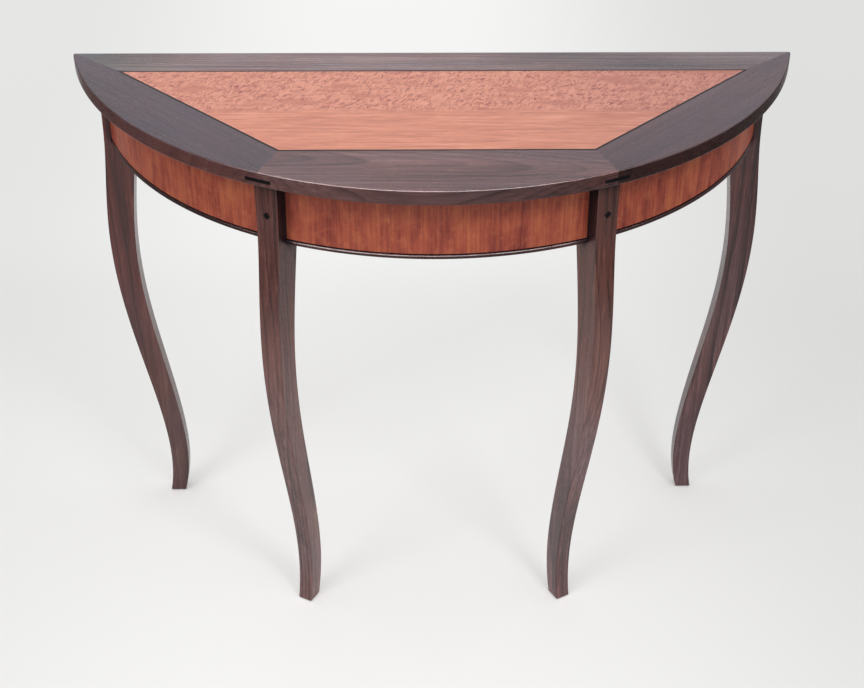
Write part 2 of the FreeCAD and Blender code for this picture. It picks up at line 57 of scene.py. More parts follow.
# Figures of the woods and skins: noise cells to the metre along the grain, across it and through it, then
# the noise's detail and its roughness. Where two more numbers follow, the figure is made of spots, which
# come out between those levels of the noise.
WALNUT_SWAY = ((2.2, 9.0, 9.0), 2.0, 0.5)
WALNUT_STREAK = ((4.0, 200.0, 200.0), 4.0, 0.55)
WALNUT_CLOUD = ((3.0, 14.0, 14.0), 3.0, 0.5)
WALNUT_HAZE = ((7.0, 17.0, 17.0), 2.0, 0.5)
WALNUT_PORES = ((60.0, 2100.0, 2100.0), 1.0, 0.5, 0.57, 0.70)
WALNUT_FLECK = ((30.0, 420.0, 420.0), 1.0, 0.5, 0.60, 0.74)
PANEL_RAGGED = ((16.0, 40.0, 0.0), 3.0, 0.5)
PANEL_STREAK = ((9.0, 170.0, 0.0), 4.0, 0.65)
PANEL_THREAD = ((34.0, 400.0, 0.0), 2.0, 0.6)
PANEL_DRIFT = ((10.0, 42.0, 0.0), 3.0, 0.55)
PANEL_SWIRL = ((60.0, 60.0, 0.0), 2.0, 0.5)
PANEL_RIDGE = ((190.0, 70.0, 0.0), 1.0, 0.5)
PANEL_CALM = ((13.0, 40.0, 0.0), 2.0, 0.5, 0.52, 0.66)
PANEL_FINE = ((165.0, 85.0, 0.0), 3.0, 0.65, 0.44, 0.62)
PANEL_BROAD = ((66.0, 125.0, 0.0), 3.0, 0.6, 0.50, 0.64)
APRON_STREAK = ((7.0, 230.0, 0.0), 4.0, 0.6)
APRON_BAND = ((3.0, 30.0, 0.0), 3.0, 0.55)
APRON_MOTTLE = ((18.0, 46.0, 0.0), 3.0, 0.6)
APRON_LINES = ((5.0, 420.0, 0.0), 2.0, 0.5, 0.56, 0.70)
APRON_FLAME = ((30.0, 40.0, 0.0), 3.0, 0.6, 0.54, 0.70)
APRON_RAYS = ((95.0, 70.0, 0.0), 2.0, 0.6, 0.52, 0.68)
VENEER_PORES = ((90.0, 2300.0, 0.0), 1.0, 0.5, 0.60, 0.72)
EBONY_STREAK = ((90.0, 90.0, 420.0), 4.0, 0.6)
INNER_STREAK = ((3.0, 160.0, 160.0), 4.0, 0.6)
INNER_BAND = ((0.8, 22.0, 22.0), 3.0, 0.5)
INNER_PORES = ((70.0, 2000.0, 2000.0), 1.0, 0.5, 0.60, 0.74)
STEEL_MARKS = ((900.0, 900.0, 5000.0), 3.0, 0.5)
PLASTIC_SKIN = ((2600.0, 2600.0, 2600.0), 3.0, 0.5)

# Walnut: the step between one piece's stretch of noise and the next, how far the sway shifts the rings,
# the tone of wood without figure, and how open a spot is where the painted shade of corners starts and
# where it is full.
SEED_STEP = (1.7, 0.9, 0.4)
RING_SWAY = 4.5
PLAIN_TONE = 0.42
PAINTED_SHADE_START = 0.90
PAINTED_SHADE_FULL = 0.62

# The heights above a cheek's foot at which its painted shade starts and is full.
CHEEK_SHADE_START, CHEEK_SHADE_FULL = -0.006, 0.020

# Where the pith lies from the middle of a leg or of the rail, and from the middle of the bead's outer face.
LEG_PITH = (0.085, -0.02)
BEAD_PITH = (0.06, -0.03)
RAIL_PITH = (-0.06, 0.02)

# Panel: how far the edge of its figure wanders, where the figure starts and is full past that edge, how
# far it curls, and the tint at the panel's right end.
RAGGED_DEPTH = 0.030
FIGURE_START, FIGURE_FULL = -0.008, 0.012
CURL = (0.016, 0.014, 0.0)
RIGHT_SHADE = (0.78, 0.76, 0.80)

# Apron: how far along the grain leaves are shifted, the colour of an open seam, the distances from its
# middle at which it starts and is full, and how far from a corner the painted shade reaches.
LEAF_SHIFT = 0.7
SEAM_COLOUR = (0.70, 0.36, 0.22)
SEAM_RIM, SEAM_CORE = 0.0010, 0.0004
APRON_SHADE_REACH = 0.014

# How deep the pores of both veneers lie.
VENEER_PORE_DEPTH = 0.00003

# The height from the floor over which the feet stop counting the floor as a corner.
FOOT_TOP, FOOT_BOTTOM = 0.10, 0.05

# The radius that softens the edges of the plugs.
PLUG_EASE = 0.0004

# What a gloss sees of the room: the wall, then bright fields with a direction, the cosines of the angles
# at which each starts and is full, and its colour.
WALL = (0.48, 0.48, 0.49)
BRIGHT_FIELDS = (
    ((0.0, 0.9, 0.44), 0.6, 1.0, (0.85, 0.91, 0.98)),
    ((0.0, -1.0, 0.05), 0.7, 1.0, (0.62, 0.62, 0.64)),
    ((-0.22, -0.45, 0.87), 0.80, 0.97, (17.0, 16.6, 16.5)),
    ((0.38, -0.32, 0.87), 0.93, 0.99, (17.0, 16.6, 16.5)),
)

# How brightly the walls light the table.
WALL_LIGHT = 0.15

# Floor: half its side, how softly the paper ends, how bright it is far away and the distances at which
# that starts and is full. Then spans as (start, end, value at the start, value at the end): its
# brightness along X to the right and to the left, and the share of glow in it with the distance.
FLOOR_REACH = 30.0
PAPER_BLUR = 0.15
FAR_LEVEL = 0.86
FAR_START, FAR_FULL = 2.3, 4.5
POOL_RIGHT = (0.05, 0.85, 1.0, 0.81)
POOL_LEFT = (-0.2, -0.95, 1.0, 0.86)
GLOW = (0.9, 2.4, 0.30, 1.0)


def middle(node):
    """The middle of a piece's box."""
    low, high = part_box(node)
    return (low + high) / 2


def slant():
    """The angle between the panel's slanted sides and its long edges."""
    low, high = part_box("line_inlay_right")
    return math.atan2(high.y - low.y, high.x - low.x)


def times(colour, factor):
    """A colour times a number."""
    return [factor * c for c in colour]


def tinted(colour, tint):
    """A colour times a tint."""
    return [c * t for c, t in zip(colour, tint)]


def change(tint, second):
    """What turns one tint into a second one."""
    return [b / a for a, b in zip(tint, second)]


# Settings


class WalnutSettings(bpy.types.PropertyGroup):
    """The dark wood of the boards, legs, beads and rail."""

    dark: FloatVectorProperty(
        name="Dark", description="Late wood and dark streaks", subtype="COLOR",
        size=3, min=0, max=1, default=(0.040, 0.015, 0.014))
    tone: FloatVectorProperty(
        name="Tone", description="The wood's middle colour", subtype="COLOR",
        size=3, min=0, max=1, default=(0.120, 0.047, 0.043))
    light: FloatVectorProperty(
        name="Light", description="Early wood and pale streaks", subtype="COLOR",
        size=3, min=0, max=1, default=(0.230, 0.108, 0.092))
    # The colour of the painted shade that corners and recesses take on, where light is blocked.
    painted_shade: FloatVectorProperty(
        name="Wax", description="Dark wax in the corners", subtype="COLOR",
        size=3, min=0, max=1, default=(0.016, 0.011, 0.015))
    ring: FloatProperty(
        name="Ring Width", description="Width of one year's growth", unit="LENGTH",
        min=0.001, default=0.0055)
    pore_depth: FloatProperty(
        name="Pore Depth", description="How deep the open pores lie", unit="LENGTH",
        min=0, default=0.00006)
    # How far from a corner the painted shade reaches.
    corner: FloatProperty(
        name="Corner", description="How far dark wax has gathered from a corner", unit="LENGTH",
        min=0, default=0.028)
    leg_turn: FloatProperty(
        name="Leg Turn", description="How far a front leg's grain is turned out", subtype="ANGLE",
        default=math.radians(29.5))
    roughness: FloatProperty(
        name="Roughness", description="Roughness of the oiled surface", subtype="FACTOR",
        min=0, max=1, default=0.23)


class PanelSettings(bpy.types.PropertyGroup):
    """The figured veneer of the panel."""

    plain: FloatVectorProperty(
        name="Plain", description="The straight-grained wood", subtype="COLOR",
        size=3, min=0, max=1, default=(0.660, 0.263, 0.172))
    rose: FloatVectorProperty(
        name="Rose", description="The darker streaks", subtype="COLOR",
        size=3, min=0, max=1, default=(0.520, 0.184, 0.128))
    blister: FloatVectorProperty(
        name="Blister", description="The dark patches of the figure", subtype="COLOR",
        size=3, min=0, max=1, default=(0.330, 0.090, 0.082))
    glint: FloatVectorProperty(
        name="Glint", description="The pale ridges of the figure", subtype="COLOR",
        size=3, min=0, max=1, default=(0.760, 0.345, 0.240))
    edge: FloatProperty(
        name="Figure Edge", description="Where the figure starts, measured from the panel's back edge",
        unit="LENGTH", min=0, default=0.124)
    roughness: FloatProperty(
        name="Roughness", description="Roughness of the lacquer", subtype="FACTOR",
        min=0, max=1, default=0.38)


class ApronSettings(bpy.types.PropertyGroup):
    """The red veneer of the apron."""

    tone: FloatVectorProperty(
        name="Tone", description="The veneer's middle colour", subtype="COLOR",
        size=3, min=0, max=1, default=(0.455, 0.091, 0.051))
    dark: FloatVectorProperty(
        name="Dark", description="The dark upright lines", subtype="COLOR",
        size=3, min=0, max=1, default=(0.220, 0.034, 0.026))
    light: FloatVectorProperty(
        name="Light", description="The orange streaks", subtype="COLOR",
        size=3, min=0, max=1, default=(0.660, 0.186, 0.080))
    leaf: FloatProperty(
        name="Leaf Width", description="Width of one leaf of veneer along the arc", unit="LENGTH",
        min=0.01, default=0.064)
    roughness: FloatProperty(
        name="Roughness", description="Roughness of the lacquer", subtype="FACTOR",
        min=0, max=1, default=0.36)


class TrimSettings(bpy.types.PropertyGroup):
    """Ebony, the plain wood inside, steel and plastic."""

    ebony: FloatVectorProperty(
        name="Ebony", description="Line, splines and plugs", subtype="COLOR",
        size=3, min=0, max=1, default=(0.003, 0.0025, 0.003))
    inner_wood: FloatVectorProperty(
        name="Inner Wood", description="Cores, blocks, buttons, tenons and keys", subtype="COLOR",
        size=3, min=0, max=1, default=(0.520, 0.370, 0.220))
    steel: FloatVectorProperty(
        name="Steel", description="Screws", subtype="COLOR",
        size=3, min=0, max=1, default=(0.560, 0.560, 0.570))
    plastic: FloatVectorProperty(
        name="Plastic", description="Glides under the feet", subtype="COLOR",
        size=3, min=0, max=1, default=(0.022, 0.022, 0.023))


class StudioSettings(bpy.types.PropertyGroup):
    """Camera, lamps and floor."""

    camera_place: FloatVectorProperty(
        name="Camera", description="Where the camera stands", subtype="TRANSLATION", unit="LENGTH",
        size=3, default=(-0.0407, -1.8970, 1.6980))
    camera_yaw: FloatProperty(
        name="Yaw", description="The camera's turn about the upright", subtype="ANGLE", default=-0.0197)
    camera_pitch: FloatProperty(
        name="Pitch", description="How far the camera looks down", subtype="ANGLE",
        default=math.radians(34.37))
    camera_roll: FloatProperty(
        name="Roll", description="The camera's turn about its own line of sight", subtype="ANGLE",
        default=0.0056)
    lens: FloatProperty(
        name="Lens", description="Focal length in millimetres on a 36 mm sensor", unit="CAMERA",
        min=1, default=66.57)
    right_lamp: FloatVectorProperty(
        name="Right Lamp", description="Place of the softbox on the right", subtype="TRANSLATION",
        unit="LENGTH", size=3, default=(1.25, -2.05, 3.25))
    right_side: FloatProperty(
        name="Right Side", description="Side of the square softbox on the right", unit="LENGTH",
        min=0.01, default=0.7)
    right_power: FloatProperty(
        name="Right Power", description="Power of the softbox on the right", unit="POWER", min=0, default=24)
    left_lamp: FloatVectorProperty(
        name="Left Lamp", description="Place of the softbox on the left", subtype="TRANSLATION",
        unit="LENGTH", size=3, default=(-2.1, -2.05, 3.0))
    left_side: FloatProperty(
        name="Left Side", description="Side of the square softbox on the left", unit="LENGTH",
        min=0.01, default=1.4)
    left_power: FloatProperty(
        name="Left Power", description="Power of the softbox on the left", unit="POWER", min=0, default=28)
    room_light: FloatProperty(
        name="Room Light", description="Brightness of the ceiling as a light", min=0, default=0.95)
    floor: FloatVectorProperty(
        name="Floor", description="Colour of the paper on the floor", subtype="COLOR",
        size=3, min=0, max=1, default=(0.990, 0.990, 0.980))
    pale: FloatVectorProperty(
        name="Pale", description="Colour of the room behind the paper", subtype="COLOR",
        size=3, min=0, max=1, default=(0.920, 0.920, 0.912))
    paper: FloatProperty(
        name="Paper", description="Half the width of the paper; past it a gloss shows the dim room",
        unit="LENGTH", min=0, default=1.25)


class TableSettings(bpy.types.PropertyGroup):
    """All the settings of the table and its studio."""

    walnut: PointerProperty(type=WalnutSettings)
    panel: PointerProperty(type=PanelSettings)
    apron: PointerProperty(type=ApronSettings)
    trim: PointerProperty(type=TrimSettings)
    studio: PointerProperty(type=StudioSettings)


# Node graphs


class Graph:
    """A node tree built with short calls; a value may be a number, a colour or an output socket."""

    def __init__(self, tree):
        self.tree = tree
        tree.nodes.clear()

    def add(self, kind, inputs=(), out=0, **options):
        made = self.tree.nodes.new("ShaderNode" + kind)
        for key, value in options.items():
            setattr(made, key, value)
        for key, value in inputs.items() if isinstance(inputs, dict) else enumerate(inputs):
            if isinstance(value, bpy.types.NodeSocket):
                self.tree.links.new(value, made.inputs[key])
            else:
                made.inputs[key].default_value = value
        return made.outputs[out] if made.outputs else None

    def math(self, operation, *values):
        return self.add("Math", values, operation=operation)

    def vector(self, operation, *values):
        return self.add("VectorMath", values, operation=operation)

    def length(self, place):
        return self.add("VectorMath", (place,), "Value", operation="LENGTH")

    def dot(self, first, second):
        return self.add("VectorMath", (first, second), "Value", operation="DOT_PRODUCT")

    def dim(self, colour, level):
        return self.add("VectorMath", {0: colour, "Scale": level}, operation="SCALE")

    def parts(self, place):
        """The three coordinates of a vector, each as a socket."""
        made = self.tree.nodes.new("ShaderNodeSeparateXYZ")
        self.tree.links.new(place, made.inputs[0])
        return tuple(made.outputs)

    def join(self, *values):
        return self.add("CombineXYZ", values)

    def total(self, start, *terms):
        """A start plus terms of (value, weight)."""
        for value, weight in terms:
            start = self.math("MULTIPLY_ADD", value, weight, start)
        return start

    def figure(self, place, figure, out="Fac"):
        """Noise with one of the figures that are listed at the top."""
        cells, detail, rough = figure
        values = {"Vector": self.vector("MULTIPLY", place, cells), "Scale": 1.0, "Detail": detail,
                  "Roughness": rough}
        return self.add("TexNoise", values, out)

    def spots(self, place, spots):
        """A figure made of spots: 0 between them and 1 in them."""
        *figure, low, high = spots
        return self.span(self.figure(place, figure), low, high)

    def chance(self, number):
        """A steady random value for a whole number."""
        return self.add("TexWhiteNoise", {"W": number}, noise_dimensions="1D")

    def span(self, value, low, high, start=0.0, end=1.0):
        """Ease a value from start to end while it goes from low to high."""
        values = {"Value": value, "From Min": low, "From Max": high, "To Min": start, "To Max": end}
        return self.add("MapRange", values, interpolation_type="SMOOTHSTEP")

    def scale(self, value, low, high):
        """Map 0..1 to low..high."""
        return self.add("MapRange", {"Value": value, "To Min": low, "To Max": high})

    def waver(self, value, mean, swing):
        """Map 0..1 to a swing below and above a mean."""
        return self.scale(value, mean - swing, mean + swing)

    def blend(self, factor, first, second, mode="MIX"):
        made = self.tree.nodes.new("ShaderNodeMix")
        made.data_type = "RGBA"
        made.blend_type = mode
        for index, value in ((0, factor), (6, first), (7, second)):
            if isinstance(value, bpy.types.NodeSocket):
                self.tree.links.new(value, made.inputs[index])
            elif index == 0:
                made.inputs[index].default_value = value
            else:
                made.inputs[index].default_value = (*value, 1.0)
        return made.outputs[2]

    def ramp(self, factor, *stops):
        """Colours or greys at places from 0 to 1."""
        made = self.tree.nodes.new("ShaderNodeValToRGB")
        self.tree.links.new(factor, made.inputs[0])
        elements = made.color_ramp.elements
        while len(elements) < len(stops):
            elements.new(0.5)
        for element, (place, colour) in zip(elements, stops):
            element.position = place
            element.color = (*colour, 1.0) if hasattr(colour, "__len__") else (colour, colour, colour, 1.0)
        return made.outputs[0]

    def here(self):
        """The place on the table, in metres."""
        return self.add("TexCoord", out="Object")

    def normal(self):
        """The direction in which the surface faces."""
        return self.add("NewGeometry", out="Normal")

    def open_air(self, reach):
        """1 on an open face and at the feet, falling towards 0 in a corner narrower than the reach."""
        air = self.add("AmbientOcclusion", {"Distance": reach}, "AO", samples=8)
        foot = self.span(self.parts(self.here())[2], FOOT_TOP, FOOT_BOTTOM)
        return self.math("MAXIMUM", air, foot)

    def rays(self):
        """The outputs that tell which kind of ray asks."""
        return self.tree.nodes.new("ShaderNodeLightPath").outputs

    def seen(self):
        """1 for rays that the camera, a gloss or a glass sends, 0 for light."""
        ray = self.rays()
        either = self.math("MAXIMUM", ray["Is Camera Ray"], ray["Is Glossy Ray"])
        return self.math("MAXIMUM", either, ray["Is Transmission Ray"])

    def surface(self, colour, roughness, height, depth, ior=1.5, metallic=0.0, gloss=0.5):
        """Close the graph with a surface whose small relief comes from a height."""
        bump = self.add("Bump", {"Height": height, "Distance": depth})
        shader = self.add("BsdfPrincipled", {
            "Base Color": colour, "Roughness": roughness, "Metallic": metallic, "IOR": ior,
            "Specular IOR Level": gloss, "Normal": bump})
        self.add("OutputMaterial", {"Surface": shader})


def new_material(name):
    """A material and the empty graph of its nodes."""
    material = bpy.data.materials.new(name)
    material.use_nodes = True
    return material, Graph(material.node_tree)


# Where the grain runs: each returns along the grain, across it and through the thickness


def board_grain(graph, turn=0.0):
    """A flat board whose grain is turned from +X."""
    return graph.add("Mapping", {"Vector": graph.here(), "Rotation": (0.0, 0.0, -turn)})


def upright_grain(graph, turn=0.0):
    """A post whose grain stands up and whose outer face looks along the turned +X."""
    deep, across, up = graph.parts(board_grain(graph, turn))
    return graph.join(up, across, deep)


def around(graph):
    """Length along the arc, distance from its middle line, and height."""
    x, y, z = graph.parts(graph.here())
    back = graph.math("SUBTRACT", ARC_Y, y)
    angle = graph.math("ARCTAN2", x, back)
    distance = graph.length(graph.join(x, back, 0.0))
    return graph.math("MULTIPLY", angle, ARC_RADIUS), distance, z


def arc_grain(graph):
    """A bent strip with its grain along the arc."""
    run, distance, z = around(graph)
    return graph.join(run, z, distance)


def leaf_grain(graph):
    """A bent leaf of veneer with its grain upright."""
    run, distance, z = around(graph)
    return graph.join(z, run, distance)


# Finishes


def late_wood(graph, place, loose, ring, pith, tilt):
    """The dark part of each year's ring about a pith that leans by tilt along the grain."""
    along, across, through = graph.parts(place)
    wide = graph.math("MULTIPLY_ADD", along, tilt, graph.math("SUBTRACT", across, pith[0]))
    deep = graph.math("MULTIPLY_ADD", along, tilt, graph.math("SUBTRACT", through, pith[1]))
    radius = graph.length(graph.join(wide, deep, 0.0))
    sway = graph.math("SUBTRACT", graph.figure(loose, WALNUT_SWAY), 0.5)
    rings = graph.math("MULTIPLY_ADD", sway, RING_SWAY, graph.math("DIVIDE", radius, ring))
    late = graph.ramp(graph.math("FRACT", rings), (0.0, 0.15), (0.5, 0.35), (0.88, 1.0), (1.0, 0.15))
    strong = graph.scale(graph.chance(graph.math("FLOOR", rings)), 0.25, 1.0)
    return graph.math("MULTIPLY", late, strong)


def walnut(name, looks, grain, pith, tilt, seed, tint=(1.0, 1.0, 1.0), figure=1.0, fades=(), edge=None,
           cheek=None):
    """Oiled walnut sawn from a tree with its pith at (across, through), leaning by tilt along the grain.

    A fade is (start, end, tint): from start to end along the grain the wood takes on that tint.
    An edge is the tint of the upright faces, which shine less: painted light and shade that sets them apart
    from the level faces. A cheek is (direction, height): faces that look along it or against it, above the
    height, take more painted shade.
    """
    material, graph = new_material(name)
    place = grain(graph)
    along = graph.parts(place)[0]
    loose = graph.vector("ADD", place, times(SEED_STEP, seed))
    streak = graph.figure(loose, WALNUT_STREAK)
    pores = graph.spots(loose, WALNUT_PORES)
    tone = graph.total(
        -0.52, (graph.figure(loose, WALNUT_CLOUD), 1.1), (streak, 0.9),
        (late_wood(graph, place, loose, looks.ring, pith, tilt), -0.42),
        (graph.spots(loose, WALNUT_FLECK), 0.22))
    tone = graph.math("MULTIPLY_ADD", tone, figure, PLAIN_TONE * (1.0 - figure))
    dark, mid, pale = (tinted(colour, tint) for colour in (looks.dark, looks.tone, looks.light))
    colour = graph.ramp(tone, (0.05, dark), (0.45, mid), (0.90, pale))
    colour = graph.blend(graph.math("MULTIPLY", pores, 0.45 * figure), colour, dark)
    haze = graph.figure(loose, WALNUT_HAZE)
    haze = graph.ramp(haze, (0.35, (0.90, 0.98, 1.00)), (0.65, (1.00, 0.92, 0.84)))
    colour = graph.blend(1.0, colour, haze, "MULTIPLY")
    for start, end, second in fades:
        colour = graph.blend(graph.span(along, start, end), colour, change(tint, second), "MULTIPLY")
    air = graph.open_air(looks.corner)
    # A cheek beside the apron takes more painted shade.
    if cheek:
        direction, height = cheek
        facing = graph.math("ABSOLUTE", graph.dot(graph.normal(), direction))
        beside = graph.math("MULTIPLY", graph.span(facing, 0.75, 0.92),
                            graph.span(along, height + CHEEK_SHADE_START, height + CHEEK_SHADE_FULL))
        air = graph.math("MULTIPLY", air, graph.scale(beside, 1.0, 0.78))
    # Corners shine less: a painted shade on the gloss as well.
    gloss = graph.span(air, PAINTED_SHADE_FULL, PAINTED_SHADE_START, 0.1, 0.5)
    # Upright faces take the edge tint, painted light and shade that sets them apart from the level faces, and
    # shine less.
    if edge:
        upright = graph.span(graph.parts(graph.normal())[2], 0.8, 0.3)
        colour = graph.blend(upright, colour, change(tint, edge), "MULTIPLY")
        gloss = graph.math("MULTIPLY", gloss, graph.scale(upright, 1.0, 0.5))
    # Corners and recesses take on the painted shade.
    colour = graph.blend(graph.span(air, PAINTED_SHADE_START, PAINTED_SHADE_FULL, 0.0, 0.95), colour, looks.painted_shade)
    roughness = graph.math("MULTIPLY_ADD", pores, 0.2, graph.waver(streak, looks.roughness, 0.06))
    relief = graph.math("SUBTRACT", graph.math("MULTIPLY", streak, 0.15), pores)
    graph.surface(colour, roughness, relief, looks.pore_depth, gloss=gloss)
    return material


def figured_veneer(name, looks):
    """Veneer with straight grain in front and blistered figure behind."""
    material, graph = new_material(name)
    place = graph.here()
    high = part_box("panel_face_veneer")[1]
    x, y = graph.parts(place)[:2]
    ragged = graph.math("MULTIPLY_ADD", graph.figure(place, PANEL_RAGGED), RAGGED_DEPTH, y)
    start = high.y - looks.edge + RAGGED_DEPTH / 2
    figure = graph.span(ragged, start + FIGURE_START, start + FIGURE_FULL)
    streak = graph.figure(place, PANEL_STREAK)
    straight = graph.total(-1.0, (graph.figure(place, PANEL_DRIFT), 0.6),
                           (graph.figure(place, PANEL_THREAD), 0.9), (streak, 1.5))
    leaning = graph.join(graph.math("MULTIPLY_ADD", y, -0.5, x), y, 0.0)
    swirl = graph.vector("SUBTRACT", graph.figure(place, PANEL_SWIRL, "Color"), (0.5, 0.5, 0.5))
    curled = graph.vector("MULTIPLY_ADD", swirl, CURL, leaning)
    calm = graph.spots(place, PANEL_CALM)
    busy = graph.scale(calm, 1.0, 0.25)
    fine = graph.math("MULTIPLY", graph.spots(curled, PANEL_FINE), 0.75)
    blister = graph.math("MAXIMUM", fine, graph.spots(curled, PANEL_BROAD))
    blister = graph.math("MULTIPLY", blister, figure)
    ridge = graph.math("ABSOLUTE", graph.total(-1.0, (graph.figure(curled, PANEL_RIDGE), 2.0)))
    ridge = graph.math("MULTIPLY", graph.span(ridge, 0.24, 0.03), figure)
    patch = graph.math("MULTIPLY", graph.math("MAXIMUM", calm, 0.25), figure)
    pores = graph.spots(place, VENEER_PORES)
    colour = graph.ramp(straight, (0.25, looks.rose), (0.55, looks.plain), (0.85, looks.glint))
    colour = graph.blend(graph.math("MULTIPLY", patch, 0.85), colour, looks.rose)
    dark = graph.math("MULTIPLY", blister, graph.math("MULTIPLY", busy, 0.95))
    colour = graph.blend(dark, colour, looks.blister)
    bright = graph.math("MULTIPLY", ridge, graph.math("MULTIPLY", busy, 0.75))
    colour = graph.blend(bright, colour, looks.glint)
    colour = graph.blend(graph.math("MULTIPLY", pores, 0.2), colour, looks.blister)
    colour = graph.blend(graph.span(x, 0.0, high.x), colour, RIGHT_SHADE, "MULTIPLY")
    roughness = graph.math("MULTIPLY_ADD", blister, 0.05, graph.waver(streak, looks.roughness, 0.05))
    graph.surface(colour, roughness, graph.math("MULTIPLY", pores, -1.0), VENEER_PORE_DEPTH, ior=1.38)
    return material


def apron_veneer(name, looks):
    """Red veneer in upright leaves round the apron."""
    material, graph = new_material(name)
    place = leaf_grain(graph)
    run = graph.parts(place)[1]
    leaf = graph.chance(graph.math("FLOOR", graph.math("DIVIDE", run, looks.leaf)))
    place = graph.vector("ADD", place, graph.join(graph.math("MULTIPLY", leaf, LEAF_SHIFT), 0.0, 0.0))
    streak = graph.figure(place, APRON_STREAK)
    flame = graph.spots(place, APRON_FLAME)
    pores = graph.spots(place, VENEER_PORES)
    tone = graph.total(-0.83, (graph.figure(place, APRON_BAND), 0.7), (streak, 1.0),
                       (graph.figure(place, APRON_MOTTLE), 1.0), (leaf, 0.10))
    colour = graph.ramp(tone, (0.20, looks.dark), (0.54, looks.tone), (0.95, looks.light))
    rays = graph.math("MULTIPLY", graph.spots(place, APRON_RAYS), graph.scale(flame, 0.28, 0.85))
    bright = graph.math("MAXIMUM", rays, graph.math("MULTIPLY", flame, 0.45))
    colour = graph.blend(bright, colour, looks.light)
    lines = graph.spots(place, APRON_LINES)
    colour = graph.blend(graph.math("MULTIPLY", lines, 0.35), colour, looks.dark)
    colour = graph.blend(graph.math("MULTIPLY", pores, 0.3), colour, looks.dark)
    seam = graph.span(graph.math("PINGPONG", run, looks.leaf), SEAM_RIM, SEAM_CORE)
    open_seam = graph.math("MULTIPLY", seam, graph.span(leaf, 0.55, 0.60))
    colour = graph.blend(graph.math("MULTIPLY", open_seam, 0.35), colour, SEAM_COLOUR)
    # Corners under the top and over the bead take a painted shade.
    air = graph.open_air(APRON_SHADE_REACH)
    colour = graph.blend(graph.span(air, 0.92, 0.50, 0.0, 0.5), colour, times(looks.dark, 0.4))
    roughness = graph.waver(streak, looks.roughness, 0.05)
    graph.surface(colour, roughness, graph.math("MULTIPLY", pores, -1.0), VENEER_PORE_DEPTH, gloss=0.3)
    return material


def ebony(name, colour):
    """Black wood with a faint brown streak."""
    material, graph = new_material(name)
    streak = graph.figure(graph.here(), EBONY_STREAK)
    shown = graph.ramp(streak, (0.40, colour), (0.80, times(colour, 2.5)))
    graph.surface(shown, graph.scale(streak, 0.26, 0.40), streak, depth=0.00002, gloss=0.12)
    return material


def inner_wood(name, colour, grain):
    """Pale planed wood, without a finish."""
    material, graph = new_material(name)
    place = grain(graph)
    streak = graph.figure(place, INNER_STREAK)
    pores = graph.spots(place, INNER_PORES)
    tone = graph.total(0.0, (graph.figure(place, INNER_BAND), 0.5), (streak, 0.6))
    dark = times(colour, 0.62)
    shown = graph.ramp(tone, (0.30, dark), (0.55, colour), (0.80, times(colour, 1.2)))
    shown = graph.blend(graph.math("MULTIPLY", pores, 0.3), shown, dark)
    roughness = graph.scale(streak, 0.52, 0.68)
    graph.surface(shown, roughness, graph.math("SUBTRACT", streak, pores), depth=0.00005)
    return material


def steel(name, colour):
    """Plated steel with fine turning marks."""
    material, graph = new_material(name)
    marks = graph.figure(graph.here(), STEEL_MARKS)
    shown = graph.blend(graph.scale(marks, 0.0, 0.5), colour, times(colour, 0.55))
    graph.surface(shown, graph.scale(marks, 0.24, 0.42), marks, depth=0.00001, metallic=1.0)
    return material


def plastic(name, colour):
    """Moulded black plastic with a fine spark-eroded skin."""
    material, graph = new_material(name)
    skin = graph.figure(graph.here(), PLASTIC_SKIN)
    shown = graph.blend(skin, colour, times(colour, 1.8))
    graph.surface(shown, graph.scale(skin, 0.46, 0.62), skin, depth=0.00003)
    return material


def dress(node, material):
    """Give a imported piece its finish."""
    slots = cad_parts[node].data.materials
    slots.clear()
    slots.append(material)


def ease_edges(node, width):
    """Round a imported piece's sharp edges a little."""
    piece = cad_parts[node]
    weld = piece.modifiers.new("weld", "WELD")
    weld.merge_threshold = width / 50
    bevel = piece.modifiers.new("eased", "BEVEL")
    bevel.width = width
    bevel.segments = 3
    bevel.limit_method = "ANGLE"


# Operators


def settings():
    """The settings that the scene holds."""
    return bpy.context.scene.demilune_table


class DEMILUNE_OT_border_boards(bpy.types.Operator):
    """Finish the four walnut boards round the panel"""

    bl_idname = "demilune.border_boards"
    bl_label = "Border Boards"

    def execute(self, context):
        looks = settings().walnut
        top = cad_high.z
        lean = slant()
        front, back = middle("border_front").y, middle("border_back").y
        # The back board is lighter in its middle and darker at both ends: a painted reflection.
        back_reflection_fades = ((0.02, 0.34, (1.36, 2.15, 2.45)), (-0.29, -0.46, (1.02, 2.05, 2.30)))
        # Each board's turn, pith, tilt, tint, strength of figure, fades and tint of the edge. The tints lay a
        # painted sheen and reflection on the level faces; the edge tints set the upright faces apart from it.
        boards = {
            "border_front": (0.0, (front + 0.02, top - 0.045), 0.07,
                             (1.38, 1.66, 1.85), 0.85, (), (1.06, 1.18, 1.30)),
            "border_back": (0.0, (back - 0.05, top - 0.03), 0.03,
                            (2.25, 3.50, 3.85), 0.8, back_reflection_fades, (1.0, 0.9, 0.9)),
            "border_left": (-lean, (0.0, top - 0.07), 0.05,
                            (0.65, 0.89, 1.22), 0.55, (), (1.08, 1.06, 1.10)),
            "border_right": (lean, (0.0, top - 0.06), -0.05,
                             (0.70, 0.83, 1.08), 0.55, (), (0.34, 0.30, 0.30)),
        }
        for seed, (node, board) in enumerate(boards.items(), 1):
            turn, pith, tilt, tint, figure, fades, edge = board
            grain = partial(board_grain, turn=turn)
            dress(node, walnut("walnut_" + node, looks, grain, pith, tilt, seed, tint, figure, fades, edge))
        return {"FINISHED"}


